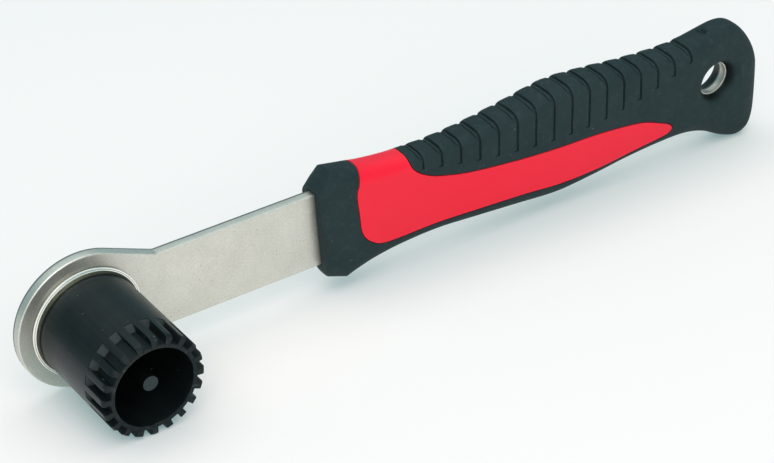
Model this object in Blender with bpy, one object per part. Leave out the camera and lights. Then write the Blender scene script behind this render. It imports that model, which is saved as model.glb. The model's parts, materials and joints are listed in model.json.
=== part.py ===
"""Splined bottom bracket tool: a pressed steel lever with a twenty-spline socket on its eye and a
two-colour moulded handle on its tang. It stands as it comes to rest, on the rim of the eye, the rim
of the socket's mouth and the lower corner of the butt. Metres, +Z up.

The tool's own frame, before it is leaned over: origin on the socket's axis at the front face of the
plate, +X along the lever to the butt, -Y along the socket to its mouth, +Z across the lever.
"""
import math

import bmesh
import bpy
import numpy as np
from mathutils import Matrix, Vector

# Clearance between pieces that touch on the real tool
GAP = 0.0003

# Lever plate
PLATE_THICKNESS = 0.0034
PLATE_EDGE_ROUND = 0.0005
EYE_RADIUS = 0.0214
EYE_FLAT_ANGLE = math.radians(22.5)
ARM_WIDTH = 0.0252
ARM_RISE = 0.0008
ARM_END = 0.0815
ARM_CORNER_RADIUS = 0.0030
TANG_WIDTH = 0.0150
TANG_END_RADIUS = 0.0098
HOLE_X = 0.2281
HOLE_Z = 0.0016
HOLE_RADIUS = 0.0054
HOLE_CHAMFER = 0.0004

# Socket
SOCKET_RADIUS = 0.0159
SOCKET_LENGTH = 0.0376
SOCKET_BASE_CHAMFER = 0.0003
MOUTH_CHAMFER_DEPTH = 0.0008
MOUTH_CHAMFER_RISE = 0.0005
BORE_RADIUS = 0.0122
BORE_FLOOR = 0.0060
BORE_CHAMFER = 0.0003
SPLINE_COUNT = 20
SPLINE_PHASE = math.radians(6.0)
SLOT_WIDTH = 0.0028
SLOT_DEPTH = 0.0025
SLOT_ROOT_RADIUS = SOCKET_RADIUS - SLOT_DEPTH
SLOT_LENGTH = 0.0088
SLOT_RUN_OUT = 0.0013
SPIGOT_RADIUS = 0.0085
SPIGOT_FLAT = 0.0070
RIVET_HEAD_RADIUS = 0.0100
RIVET_HEAD_HEIGHT = 0.0010
RIVET_HEAD_CHAMFER = 0.0004

# Seat ring between plate and socket: a neck as wide as the socket, and a ledge round the neck's foot
# whose face is a shallow cone
RING_LEDGE = 0.0014
RING_RADIUS = SOCKET_RADIUS + RING_LEDGE
RING_HEIGHT = 0.0018
RING_RIM_HEIGHT = 0.0005
RING_LEDGE_HEIGHT = 0.0009

# Guide pin
PIN_RADIUS = 0.0024
PIN_SET_BACK = 0.0021
PIN_CHAMFER = 0.0003

# Handle: the rubber skin's sections, from the collar to the butt.
# Each row: station, top x, top z, bottom x, bottom z, half thickness.
HANDLE_ROWS = (
    (0.0760, 0.0760, 0.0152, 0.0781, -0.0138, 0.0048),
    (0.0788, 0.0786, 0.0177, 0.0797, -0.0165, 0.0055),
    (0.0815, 0.0813, 0.0201, 0.0856, -0.0186, 0.0061),
    (0.0880, 0.0880, 0.0188, 0.0896, -0.0172, 0.0061),
    (0.0950, 0.0950, 0.0175, 0.0956, -0.0158, 0.0059),
    (0.1050, 0.1050, 0.0165, 0.1050, -0.0147, 0.0055),
    (0.1190, 0.1190, 0.0163, 0.1190, -0.0143, 0.0053),
    (0.1330, 0.1330, 0.0170, 0.1330, -0.0152, 0.0058),
    (0.1490, 0.1490, 0.0190, 0.1490, -0.0164, 0.0063),
    (0.1640, 0.1640, 0.0211, 0.1640, -0.0175, 0.0066),
    (0.1780, 0.1780, 0.0204, 0.1780, -0.0166, 0.0064),
    (0.1920, 0.1920, 0.0189, 0.1920, -0.0151, 0.0062),
    (0.2070, 0.2070, 0.0180, 0.2070, -0.0143, 0.0060),
    (0.2170, 0.2170, 0.0184, 0.2170, -0.0148, 0.0058),
    (0.2255, 0.2255, 0.0200, 0.2250, -0.0172, 0.0056),
    (0.2310, 0.2305, 0.0207, 0.2315, -0.0208, 0.0055),
    (0.2360, 0.2345, 0.0200, 0.2362, -0.0231, 0.0054),
    (0.2410, 0.2384, 0.0169, 0.2398, -0.0230, 0.0053),
    (0.2460, 0.2418, 0.0120, 0.2426, -0.0205, 0.0048),
    (0.2510, 0.2445, 0.0058, 0.2450, -0.0142, 0.0034),
    (0.2540, 0.2460, 0.0005, 0.2461, -0.0078, 0.0012),
)
CHAMFER_ROWS = 2
HANDLE_MID_Y = PLATE_THICKNESS / 2
EDGE_ROUND_SHARE = 0.86
FACE_CROWN = 0.0003
RUBBER_WALL = 0.0020
CORE_START = 0.0860
CORE_END = 0.2440

# Finger grooves over the back of the grip
GROOVE_COUNT = 16
GROOVE_FIRST_X = 0.1127
GROOVE_PITCH = 0.00685
GROOVE_WIDTH = 0.0009
GROOVE_DEPTH = 0.0006
LAND_DIP = 0.0002
GROOVE_LEG_LOW_X = 0.1690
GROOVE_LEG_LOW_Z = 0.0045
GROOVE_LEG_RISE_FRONT = 2.05
GROOVE_LEG_RISE_BACK = 4.10

# Window in the rubber, through which the core shows: its lower edge runs along the handle, its upper
# edge rises over the back of the handle behind the collar
WINDOW_LOWER_EDGE = (
    (0.0920, 0.0196), (0.0902, 0.0172), (0.0890, 0.0140), (0.0882, 0.0108), (0.0889, 0.0040),
    (0.0899, -0.0028), (0.0933, -0.0072), (0.0998, -0.0096), (0.1186, -0.0100), (0.1480, -0.0111),
    (0.1635, -0.0123), (0.1793, -0.0124), (0.1953, -0.0109), (0.2043, -0.0102),
)
WINDOW_UPPER_EDGE = (
    (0.2083, -0.0074), (0.2030, -0.0042), (0.1947, -0.0014), (0.1786, 0.0006), (0.1632, 0.0013),
    (0.1477, 0.0022), (0.1295, 0.0041), (0.1187, 0.0065), (0.1127, 0.0091), (0.1086, 0.0127),
    (0.1075, 0.0170),
)
WINDOW_REACH = 0.0300

# Mouth of the hanging hole in the rubber
HOLE_LINER_RADIUS = 0.0060
HOLE_LINER_LIP = 0.0003
# The dish from the liner to the handle's face: radius and distance from the plate.
HOLE_FRONT_DISH = ((0.0067, 0.0022), (0.0078, 0.0034), (0.0098, 0.0044))
HOLE_BACK_DISH = ((0.0061, 0.0016), (0.0065, 0.0029), (0.0080, 0.0042))
HOLE_CUT_REACH = 0.0080
HOLE_POST_RADIUS = 0.0100

ROUND_STEPS = 80
SMOOTH_ANGLE = math.radians(32)


def clear_scene():
    for item in list(bpy.data.objects):
        bpy.data.objects.remove(item, do_unlink=True)


def make_material(name, colour, roughness, metallic):
    material = bpy.data.materials.new(name)
    material.use_nodes = True
    shader = material.node_tree.nodes["Principled BSDF"]
    shader.inputs["Base Color"].default_value = (*colour, 1.0)
    shader.inputs["Roughness"].default_value = roughness
    shader.inputs["Metallic"].default_value = metallic
    return material


def add_object(name, mesh, parent, material=None):
    item = bpy.data.objects.new(name, mesh)
    bpy.context.scene.collection.objects.link(item)
    item.parent = parent
    if material:
        mesh.materials.append(material)
        mesh.shade_smooth()
        mesh.set_sharp_from_angle(angle=SMOOTH_ANGLE)
    return item


def hide_tool(item):
    """A cutter or an added body: part of the making, not a piece of its own."""
    item.hide_render = True
    item.display_type = "WIRE"
    return item


def mesh_from(shape, name):
    """Turns a bmesh into a mesh with merged doubles and faces pointing out."""
    bmesh.ops.remove_doubles(shape, verts=shape.verts, dist=1e-7)
    bmesh.ops.recalc_face_normals(shape, faces=shape.faces)
    mesh = bpy.data.meshes.new(name)
    shape.to_mesh(mesh)
    shape.free()
    return mesh


def turned(name, profile, steps=ROUND_STEPS, centre=(0.0, 0.0)):
    """Revolves a closed outline of (radius, y) points about an axis along Y through centre (x, z)."""
    shape = bmesh.new()
    points = [shape.verts.new((radius, y, 0.0)) for radius, y in profile]
    edges = [shape.edges.new((a, b)) for a, b in zip(points, points[1:] + points[:1])]
    bmesh.ops.spin(shape, geom=points + edges, cent=(0, 0, 0), axis=(0, 1, 0),
                   angle=math.tau, steps=steps, use_merge=True)
    bmesh.ops.translate(shape, verts=shape.verts, vec=(centre[0], 0.0, centre[1]))
    loose = [edge for edge in shape.edges if not edge.link_faces]
    bmesh.ops.delete(shape, geom=loose, context="EDGES")
    return mesh_from(shape, name)


def prism(name, outline, y_front, y_back):
    """Extrudes a closed (x, z) outline along Y."""
    shape = bmesh.new()
    face = shape.faces.new([shape.verts.new((x, y_front, z)) for x, z in outline])
    body = bmesh.ops.extrude_face_region(shape, geom=[face])["geom"]
    moved = [part for part in body if isinstance(part, bmesh.types.BMVert)]
    bmesh.ops.translate(shape, verts=moved, vec=(0.0, y_back - y_front, 0.0))
    return mesh_from(shape, name)


def loft(name, rings):
    """Joins closed rings of equally many points with quads and closes both ends."""
    shape = bmesh.new()
    loops = [[shape.verts.new(point) for point in ring] for ring in rings]
    count = len(loops[0])
    for here, there in zip(loops, loops[1:]):
        for i in range(count):
            j = (i + 1) % count
            shape.faces.new((here[i], here[j], there[j], there[i]))
    shape.faces.new(loops[0])
    shape.faces.new(loops[-1])
    return mesh_from(shape, name)


def combine(item, other, operation):
    modifier = item.modifiers.new(other.name, "BOOLEAN")
    modifier.operation = operation
    modifier.object = other
    modifier.solver = "EXACT"
    return modifier


def arc(centre, radius, start, end, steps):
    """Points from one angle to another about centre, both ends included."""
    angles = np.linspace(start, end, steps + 1)
    return [(centre[0] + radius * math.cos(a), centre[1] + radius * math.sin(a)) for a in angles]


def fillet(before, corner, after, radius, steps=4):
    """Rounds the corner of an outline: a circle that touches both of its sides."""
    corner = Vector(corner)
    to_before = (Vector(before) - corner).normalized()
    to_after = (Vector(after) - corner).normalized()
    half = to_before.angle(to_after) / 2
    centre = corner + (to_before + to_after).normalized() * radius / math.sin(half)
    first = corner + to_before * radius / math.tan(half)
    last = corner + to_after * radius / math.tan(half)
    points = []
    for i in range(steps + 1):
        chord = first.lerp(last, i / steps) - centre
        points.append(tuple(centre + chord.normalized() * radius))
    return points


def lever_side(side, grow):
    """One edge of the lever, from the eye to the tang's round end; side is 1 above, -1 below."""
    eye = EYE_RADIUS + grow
    lean = math.pi / 2 - EYE_FLAT_ANGLE
    touch = (eye * math.cos(lean), side * eye * math.sin(lean))
    arm = ARM_RISE + side * (ARM_WIDTH / 2 + grow)
    tang = ARM_RISE + side * (TANG_WIDTH / 2 + grow)
    run = abs(touch[1] - arm) / math.tan(EYE_FLAT_ANGLE)
    neck = (touch[0] + run, arm)
    shoulder = (ARM_END + grow, arm)
    root = (ARM_END + grow, tang)
    end_radius = TANG_END_RADIUS + grow
    drop = tang - HOLE_Z
    meet = (HOLE_X - math.sqrt(end_radius**2 - drop**2), tang)
    points = fillet(touch, neck, shoulder, ARM_CORNER_RADIUS)
    points += fillet(neck, shoulder, root, ARM_CORNER_RADIUS / 2)
    points += fillet(shoulder, root, meet, ARM_CORNER_RADIUS / 2)
    return points, lean, math.atan2(drop, meet[0] - HOLE_X)


def lever_outline(grow=0.0):
    """The pressed blank: round eye, flats that touch it, parallel arm, narrow tang, round end."""
    above, lean, above_end = lever_side(1, grow)
    below, _, below_end = lever_side(-1, grow)
    eye = arc((0.0, 0.0), EYE_RADIUS + grow, -lean, lean - math.tau, 40)
    end = arc((HOLE_X, HOLE_Z), TANG_END_RADIUS + grow, above_end, below_end, 20)
    return eye + above + end + below[::-1]


def double_d(radius, flat, steps=32):
    """A circle with two flats, across X at the distance flat from the middle."""
    start = math.acos(flat / radius)
    above = arc((0.0, 0.0), radius, start, math.pi - start, steps // 2)
    return above + [(-x, -z) for x, z in above]


def hole_cutter_profile(radius, chamfer, front, back, past):
    """A drill with a countersink at either face, for a hole along Y."""
    return ((0.0, front - past), (radius + chamfer + past, front - past), (radius, front + chamfer),
            (radius, back - chamfer), (radius + chamfer + past, back + past), (0.0, back + past))


def make_spigot_hole(root):
    """The two-flat hole through plate and ring that keeps the socket from turning."""
    mesh = prism("spigot_hole", double_d(SPIGOT_RADIUS + GAP, SPIGOT_FLAT + GAP),
                 -2 * RING_HEIGHT, 2 * PLATE_THICKNESS)
    return hide_tool(add_object("spigot_hole", mesh, root))


def make_lever_plate(root, material, spigot_hole):
    plate = add_object("lever_plate", prism("lever_plate", lever_outline(), 0.0, PLATE_THICKNESS),
                       root, material)
    rounding = plate.modifiers.new("edge_round", "BEVEL")
    rounding.width = PLATE_EDGE_ROUND
    rounding.segments = 2
    rounding.limit_method = "ANGLE"
    rounding.angle_limit = math.radians(50)
    combine(plate, spigot_hole, "DIFFERENCE")
    hole = turned("hanging_hole", hole_cutter_profile(HOLE_RADIUS, HOLE_CHAMFER, 0.0,
                                                      PLATE_THICKNESS, 0.002), 40, (HOLE_X, HOLE_Z))
    combine(plate, hide_tool(add_object("hanging_hole", hole, root)), "DIFFERENCE")
    return plate


def make_seat_ring(root, material, spigot_hole):
    top = -(GAP + RING_HEIGHT)
    disc = turned("seat_ring", ((0.0, -GAP), (RING_RADIUS, -GAP),
                                (RING_RADIUS, -(GAP + RING_RIM_HEIGHT)),
                                (SOCKET_RADIUS, -(GAP + RING_LEDGE_HEIGHT)),
                                (SOCKET_RADIUS, top), (0.0, top)))
    ring = add_object("seat_ring", disc, root, material)
    combine(ring, spigot_hole, "DIFFERENCE")
    return ring


def slot_cutters(name):
    """One wedge-backed bar for each slot between the splines, all in one mesh."""
    half = SLOT_WIDTH / 2
    outer = SOCKET_RADIUS + 2 * SLOT_RUN_OUT
    mouth = -(SOCKET_LENGTH + SLOT_RUN_OUT)
    floor_end = -(SOCKET_LENGTH - SLOT_LENGTH)
    slope = SLOT_RUN_OUT / SLOT_DEPTH
    top_end = floor_end + slope * (outer - SLOT_ROOT_RADIUS)
    shape = bmesh.new()
    for i in range(SPLINE_COUNT):
        turn = Matrix.Rotation(-(SPLINE_PHASE + math.tau * i / SPLINE_COUNT), 4, "Y")
        side = [(SLOT_ROOT_RADIUS, mouth), (outer, mouth), (outer, top_end),
                (SLOT_ROOT_RADIUS, floor_end)]
        left = [shape.verts.new(turn @ Vector((r, y, half))) for r, y in side]
        right = [shape.verts.new(turn @ Vector((r, y, -half))) for r, y in side]
        shape.faces.new(left)
        shape.faces.new(right[::-1])
        for a in range(4):
            b = (a + 1) % 4
            shape.faces.new((left[b], left[a], right[a], right[b]))
    return mesh_from(shape, name)


def make_splined_socket(root, material):
    base = -(RING_HEIGHT + 2 * GAP)
    body = turned("splined_socket", (
        (0.0, base), (SOCKET_RADIUS - SOCKET_BASE_CHAMFER, base),
        (SOCKET_RADIUS, base - SOCKET_BASE_CHAMFER),
        (SOCKET_RADIUS, -(SOCKET_LENGTH - MOUTH_CHAMFER_DEPTH)),
        (SOCKET_RADIUS - MOUTH_CHAMFER_RISE, -SOCKET_LENGTH),
        (BORE_RADIUS + BORE_CHAMFER, -SOCKET_LENGTH), (BORE_RADIUS, BORE_CHAMFER - SOCKET_LENGTH),
        (BORE_RADIUS, -BORE_FLOOR), (0.0, -BORE_FLOOR)))
    socket = add_object("splined_socket", body, root, material)
    head_base = PLATE_THICKNESS + GAP
    head_top = head_base + RIVET_HEAD_HEIGHT
    spigot = prism("spigot", double_d(SPIGOT_RADIUS, SPIGOT_FLAT), -BORE_FLOOR / 2,
                   head_base + RIVET_HEAD_HEIGHT / 2)
    combine(socket, hide_tool(add_object("spigot", spigot, root)), "UNION")
    head = turned("peened_head", ((0.0, head_base), (RIVET_HEAD_RADIUS, head_base),
                                  (RIVET_HEAD_RADIUS, head_top - RIVET_HEAD_CHAMFER),
                                  (RIVET_HEAD_RADIUS - RIVET_HEAD_CHAMFER, head_top),
                                  (0.0, head_top)), 48)
    combine(socket, hide_tool(add_object("peened_head", head, root)), "UNION")
    past = 2 * PLATE_THICKNESS
    bore = turned("pin_hole", ((0.0, -SOCKET_LENGTH), (PIN_RADIUS + GAP, -SOCKET_LENGTH),
                               (PIN_RADIUS + GAP, past), (0.0, past)), 24)
    combine(socket, hide_tool(add_object("pin_hole", bore, root)), "DIFFERENCE")
    slots = hide_tool(add_object("slots", slot_cutters("slots"), root))
    combine(socket, slots, "DIFFERENCE")
    return socket


def make_guide_pin(root, material):
    tip = PIN_SET_BACK - SOCKET_LENGTH
    tail = PLATE_THICKNESS + GAP + RIVET_HEAD_HEIGHT
    pin = turned("guide_pin", (
        (0.0, tip), (PIN_RADIUS - PIN_CHAMFER, tip), (PIN_RADIUS, tip + PIN_CHAMFER),
        (PIN_RADIUS, tail - PIN_CHAMFER), (PIN_RADIUS - PIN_CHAMFER, tail), (0.0, tail)), 24)
    return add_object("guide_pin", pin, root, material)


def smooth_row(station):
    """The handle's section at a station: a smooth curve through the rows, straight at the chamfers."""
    rows = np.array(HANDLE_ROWS)
    keys = rows[:, 0]
    i = int(np.clip(np.searchsorted(keys, station, side="right") - 1, 0, len(keys) - 2))
    span = keys[i + 1] - keys[i]
    t = (station - keys[i]) / span

    def slope(k):
        if k == CHAMFER_ROWS:
            return (rows[k + 1] - rows[k]) / (keys[k + 1] - keys[k])
        if k >= len(keys) - 1:
            return (rows[k] - rows[k - 1]) / (keys[k] - keys[k - 1])
        return (rows[k + 1] - rows[k - 1]) / (keys[k + 1] - keys[k - 1])

    if i < CHAMFER_ROWS:
        return rows[i] + (rows[i + 1] - rows[i]) * t
    hermite = (2 * t**3 - 3 * t**2 + 1, t**3 - 2 * t**2 + t, 3 * t**2 - 2 * t**3, t**3 - t**2)
    return (hermite[0] * rows[i] + hermite[1] * span * slope(i)
            + hermite[2] * rows[i + 1] + hermite[3] * span * slope(i + 1))


def leg_end(x):
    """Height at which a groove's legs stop: two parabolas that meet at the lowest leg."""
    away = x - GROOVE_LEG_LOW_X
    rise = GROOVE_LEG_RISE_FRONT if away < 0 else GROOVE_LEG_RISE_BACK
    return GROOVE_LEG_LOW_Z + rise * away * away


def section(station, inset=0.0, groove=0.0):
    """One ring of the handle: flat faces front and back, round edges above and below.

    A groove takes its depth off the upper edge and off both faces down to the leg's end.
    """
    _, top_x, top_z, low_x, low_z, thick = smooth_row(station)
    top, low = Vector((top_x, 0.0, top_z)), Vector((low_x, 0.0, low_z))
    middle = (top + low) / 2 + Vector((0.0, HANDLE_MID_Y, 0.0))
    up = (top - low).normalized()
    half = (top - low).length / 2 - inset
    edge = thick * EDGE_ROUND_SHARE - inset
    wide = thick - inset
    straight = half - edge
    stop = min(leg_end(top_x) - middle.z, straight * 0.9)
    levels = (-straight, -straight * 0.45, stop - GROOVE_DEPTH, stop, straight)
    corner = [math.radians(a) for a in (22.5, 45.0, 67.5)]
    ring = []

    def put(across, along, cut=0.0, normal=(0.0, 0.0)):
        bulge = FACE_CROWN * (1 - min(1.0, abs(along) / half) ** 2) * (1 if across > 0 else -1)
        shrink = bulge - cut * normal[0]
        ring.append(middle + Vector((0.0, across + shrink, 0.0)) + up * (along - cut * normal[1]))

    def face(side, order):
        for level in order:
            deep = groove if level >= stop else 0.0
            put(side * wide, level, deep, (side, 0.0))

    def edge_round(side, sign, angles):
        deep = groove if sign > 0 else 0.0
        for a in angles:
            put(side * (wide - edge + edge * math.cos(a)), sign * (straight + edge * math.sin(a)),
                deep, (side * math.cos(a), sign * math.sin(a)))

    face(-1, levels)
    edge_round(-1, 1, corner)
    ring.append(middle + up * (half - groove))
    edge_round(1, 1, corner[::-1])
    face(1, levels[::-1])
    edge_round(1, -1, corner)
    ring.append(middle - up * half)
    edge_round(-1, -1, corner[::-1])
    return ring


def plain_stations(start, end, step=0.0065):
    keys = [row[0] for row in HANDLE_ROWS if start < row[0] < end]
    fill = np.arange(start, end, step)
    kept = [s for s in fill if min(abs(s - k) for k in keys) > step * 0.45]
    return sorted({start, end, *keys, *kept})


def grooved_stations():
    """Stations with their depth: the lands overlap like shingles.

    Each land starts full, dips a little toward the butt and drops into the pocket at the foot of
    the next step.
    """
    half = GROOVE_WIDTH / 2
    marks = []
    for i in range(GROOVE_COUNT):
        x = GROOVE_FIRST_X + i * GROOVE_PITCH
        marks += [(x - half, LAND_DIP if i else 0.0), (x, GROOVE_DEPTH), (x + half, 0.0)]
    first, last = marks[0][0], marks[-1][0]
    plain = plain_stations(HANDLE_ROWS[0][0], HANDLE_ROWS[-1][0])
    outside = [(s, 0.0) for s in plain if s < first - GROOVE_WIDTH or s > last + GROOVE_WIDTH]
    return sorted(outside + marks)


def handle_solid(name, start, end, inset):
    return loft(name, [section(s, inset) for s in plain_stations(start, end)])


def smooth_outline(points, steps=3):
    """Catmull-Rom curve through an open run of points."""
    pts = [Vector(p) for p in points]
    pts = [2 * pts[0] - pts[1], *pts, 2 * pts[-1] - pts[-2]]
    curve = []
    for a, b, c, d in zip(pts, pts[1:], pts[2:], pts[3:]):
        for i in range(steps):
            t = i / steps
            curve.append(0.5 * (2 * b + (c - a) * t + (2 * a - 5 * b + 4 * c - d) * t * t
                                + (3 * b - a - 3 * c + d) * t**3))
    return curve + [pts[-2]]


def window_outline(grow):
    """Edge of the window, grown outwards by grow; it opens over the back of the handle."""
    run = smooth_outline(WINDOW_LOWER_EDGE + WINDOW_UPPER_EDGE)
    run = [Vector((run[0].x, WINDOW_REACH))] + run + [Vector((run[-1].x, WINDOW_REACH))]
    moved = []
    for i, point in enumerate(run):
        before = run[max(i - 1, 0)]
        after = run[min(i + 1, len(run) - 1)]
        along = (after - before).normalized()
        moved.append(point + Vector((along.y, -along.x)) * grow)
    return [tuple(point) for point in moved]


def dish_profile(dish, plate_face, way):
    """One side of the hole's cutter: the liner's lip, the dish, then straight out past the handle."""
    points = [(HOLE_LINER_RADIUS, plate_face + way * HOLE_LINER_LIP)]
    for radius, depth in dish:
        points.append((radius, plate_face + way * depth))
    outer_radius = dish[-1][0]
    points.append((outer_radius, plate_face + way * HOLE_CUT_REACH))
    points.append((0.0, plate_face + way * HOLE_CUT_REACH))
    return points


def rim_cutter_profile():
    """The hanging hole in the rubber: a liner over the plate's hole that opens into a dish each way."""
    front = dish_profile(HOLE_FRONT_DISH, 0.0, -1)
    back = dish_profile(HOLE_BACK_DISH, PLATE_THICKNESS, 1)
    return front[::-1] + back


def make_tang_cutter(root):
    mesh = prism("tang_slot", lever_outline(GAP), -GAP, PLATE_THICKNESS + GAP)
    return hide_tool(add_object("tang_slot", mesh, root))


def post_cutter(root, name, radius):
    """Round post of rubber about the hanging hole, which the core leaves room for."""
    reach = 0.02
    mesh = turned(name, ((0.0, -reach), (radius, -reach), (radius, reach), (0.0, reach)), 40,
                  (HOLE_X, HOLE_Z))
    return hide_tool(add_object(name, mesh, root))


def make_handle_core(root, material, tang):
    core = add_object("handle_core", handle_solid("handle_core", CORE_START, CORE_END, RUBBER_WALL),
                      root, material)
    panel = handle_solid("panel", HANDLE_ROWS[1][0], HANDLE_ROWS[-2][0], 0.0)
    panel = hide_tool(add_object("panel", panel, root))
    window = prism("panel_edge", window_outline(-GAP / 2), -WINDOW_REACH, WINDOW_REACH)
    combine(panel, hide_tool(add_object("panel_edge", window, root)), "INTERSECT")
    combine(core, panel, "UNION")
    combine(core, post_cutter(root, "core_post_hole", HOLE_POST_RADIUS), "DIFFERENCE")
    combine(core, tang, "DIFFERENCE")
    return core


def make_rubber_grip(root, material, tang):
    rings = [section(s, 0.0, depth) for s, depth in grooved_stations()]
    grip = add_object("rubber_grip", loft("rubber_grip", rings), root, material)
    hollow = handle_solid("core_hollow", CORE_START - GAP, CORE_END + GAP, RUBBER_WALL - GAP)
    hollow = hide_tool(add_object("core_hollow", hollow, root))
    combine(hollow, post_cutter(root, "rubber_post", HOLE_POST_RADIUS - GAP), "DIFFERENCE")
    combine(grip, hollow, "DIFFERENCE")
    window = prism("window", window_outline(GAP / 2), -WINDOW_REACH, WINDOW_REACH)
    combine(grip, hide_tool(add_object("window", window, root)), "DIFFERENCE")
    combine(grip, tang, "DIFFERENCE")
    rim = turned("hole_rim", rim_cutter_profile(), 40, (HOLE_X, HOLE_Z))
    combine(grip, hide_tool(add_object("hole_rim", rim, root)), "DIFFERENCE")
    return grip


def points_of(items):
    """Corner points of finished pieces in the tool's own frame."""
    graph = bpy.context.evaluated_depsgraph_get()
    return np.array([v.co for item in items for v in item.evaluated_get(graph).data.vertices])


def rest_matrix(eye, socket, handle):
    """Lays the tool on three points: one each of the eye, the socket and the handle.

    The lowest point of each under the present up direction gives a new plane, until it stays.
    """
    groups = [points_of([item]) for item in (eye, socket, handle)]
    up = np.array([0.0, 0.0, 1.0])
    for _ in range(8):
        a, b, c = (group[(group @ up).argmin()] for group in groups)
        up = np.cross(c - a, b - a)
        up = up / np.linalg.norm(up) * math.copysign(1.0, up[2])
    along = np.array([1.0, 0.0, 0.0]) - up * up[0]
    along /= np.linalg.norm(along)
    across = np.cross(up, along)
    turn = np.array([along, across, up])
    placed = np.concatenate(groups) @ turn.T
    low, high = placed.min(axis=0), placed.max(axis=0)
    centre = (low + high) / 2
    shift = Matrix.Translation((-centre[0], -centre[1], -low[2]))
    return shift @ Matrix([list(row) for row in turn]).to_4x4()


def main():
    clear_scene()
    nickel = make_material("satin_nickel", (0.62, 0.61, 0.57), 0.34, 1.0)
    bright_nickel = make_material("bright_nickel", (0.74, 0.73, 0.69), 0.22, 1.0)
    black_oxide = make_material("black_oxide", (0.022, 0.025, 0.027), 0.38, 0.6)
    pin_steel = make_material("grey_steel", (0.33, 0.35, 0.36), 0.45, 0.8)
    red_plastic = make_material("red_plastic", (0.80, 0.030, 0.060), 0.32, 0.0)
    rubber = make_material("black_rubber", (0.020, 0.026, 0.028), 0.62, 0.0)

    root = bpy.data.objects.new("rest_pose", None)
    bpy.context.scene.collection.objects.link(root)
    tang = make_tang_cutter(root)
    spigot_hole = make_spigot_hole(root)
    plate = make_lever_plate(root, nickel, spigot_hole)
    make_seat_ring(root, bright_nickel, spigot_hole)
    socket = make_splined_socket(root, black_oxide)
    make_guide_pin(root, pin_steel)
    make_handle_core(root, red_plastic, tang)
    grip = make_rubber_grip(root, rubber, tang)
    root.matrix_world = rest_matrix(plate, socket, grip)


main()
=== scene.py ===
"""The looks of a bottom bracket tool: a nickel-plated lever, a black splined socket on its eye and a
red and charcoal moulded grip, as it lies on a pale table. Lengths are in metres.
"""
import json
import math

import bpy
import numpy as np
from mathutils import Matrix


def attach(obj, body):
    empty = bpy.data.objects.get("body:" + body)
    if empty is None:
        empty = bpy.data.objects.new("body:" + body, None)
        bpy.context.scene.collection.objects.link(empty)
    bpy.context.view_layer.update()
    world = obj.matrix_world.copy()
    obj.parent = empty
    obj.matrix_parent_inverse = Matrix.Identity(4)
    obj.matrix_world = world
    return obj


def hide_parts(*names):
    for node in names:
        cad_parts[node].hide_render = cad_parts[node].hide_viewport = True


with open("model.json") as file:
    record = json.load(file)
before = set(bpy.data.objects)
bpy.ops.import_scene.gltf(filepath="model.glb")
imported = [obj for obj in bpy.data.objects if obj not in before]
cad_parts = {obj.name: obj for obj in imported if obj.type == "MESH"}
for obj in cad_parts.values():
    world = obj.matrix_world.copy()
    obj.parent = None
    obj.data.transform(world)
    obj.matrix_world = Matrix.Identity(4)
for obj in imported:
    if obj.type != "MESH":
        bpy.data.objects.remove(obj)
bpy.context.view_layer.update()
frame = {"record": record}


# How the tool lies
# It rests on the rim of its eye, the rim of the socket's mouth and the lower corner of the butt, so its
# own axes lean: x runs along the lever, y along the socket away from its mouth, z across the lever.
# The mouth's mount point gives both the lean and the place.
SOCKET_LENGTH = 0.0376
MOUNT_RADIUS, MOUNT_ANGLE = 0.0139, math.radians(87)
MOUTH_POINT = (MOUNT_RADIUS * math.cos(MOUNT_ANGLE), -SOCKET_LENGTH,
               MOUNT_RADIUS * math.sin(MOUNT_ANGLE))
mouth = frame["record"]["mounts"][0]
socket_way = -np.array(mouth["axis"])
lever_way = np.cross((0.0, 1.0, 0.0), socket_way)
lever_way /= np.linalg.norm(lever_way)
TOOL_AXES = np.column_stack([lever_way, socket_way, np.cross(lever_way, socket_way)])
TOOL_ORIGIN = np.array(mouth["pos_m"]) - TOOL_AXES @ np.array(MOUTH_POINT)


def lay(points):
    """Tool coordinates to where they lie: each point turned by the tool's axes, then shifted."""
    return np.asarray(points, float) @ TOOL_AXES.T + TOOL_ORIGIN


# Lever plate
# One blank pressed from 3.4 mm steel, tumbled and plated with satin nickel: a round eye, flats that
# touch it, a parallel arm and a narrow tang that runs through the grip and ends round the hanging hole.
PLATE_THICKNESS = 0.0034
PLATE_EDGE_ROUND = 0.0004
EDGE_SUPPORT = 1.06
SHARP_EDGE = math.radians(35)
EYE_RADIUS = 0.0214
EYE_FLAT_ANGLE = math.radians(22.5)
ARM_HALF_WIDTH, ARM_RISE, ARM_END = 0.0126, 0.0008, 0.0815
NECK_FILLET = 0.0030
TANG_HALF_WIDTH, TANG_END_RADIUS = 0.0075, 0.0098
HOLE_X, HOLE_Z = 0.2281, 0.0016
STEEL_HOLE_RADIUS = 0.0054
# The hole's edge, as added radius and depth: a small round, and a flare outside the face.
STEEL_HOLE_EDGE = ((0.0015, -0.0010), (0.0003, 0.0), (0.0001, 0.0001), (0.0, 0.0003))
SPIGOT_RADIUS, SPIGOT_FLAT = 0.0085, 0.0070
CLEARANCE = 0.0003
SPIGOT_HOLE, SPIGOT_HOLE_FLAT = SPIGOT_RADIUS + CLEARANCE, SPIGOT_FLAT + CLEARANCE
CUTTER_SPARE = 0.0010


def put(name, data):
    """A new object in the scene, at the origin."""
    item = bpy.data.objects.new(name, data)
    bpy.context.scene.collection.objects.link(item)
    return item


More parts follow.
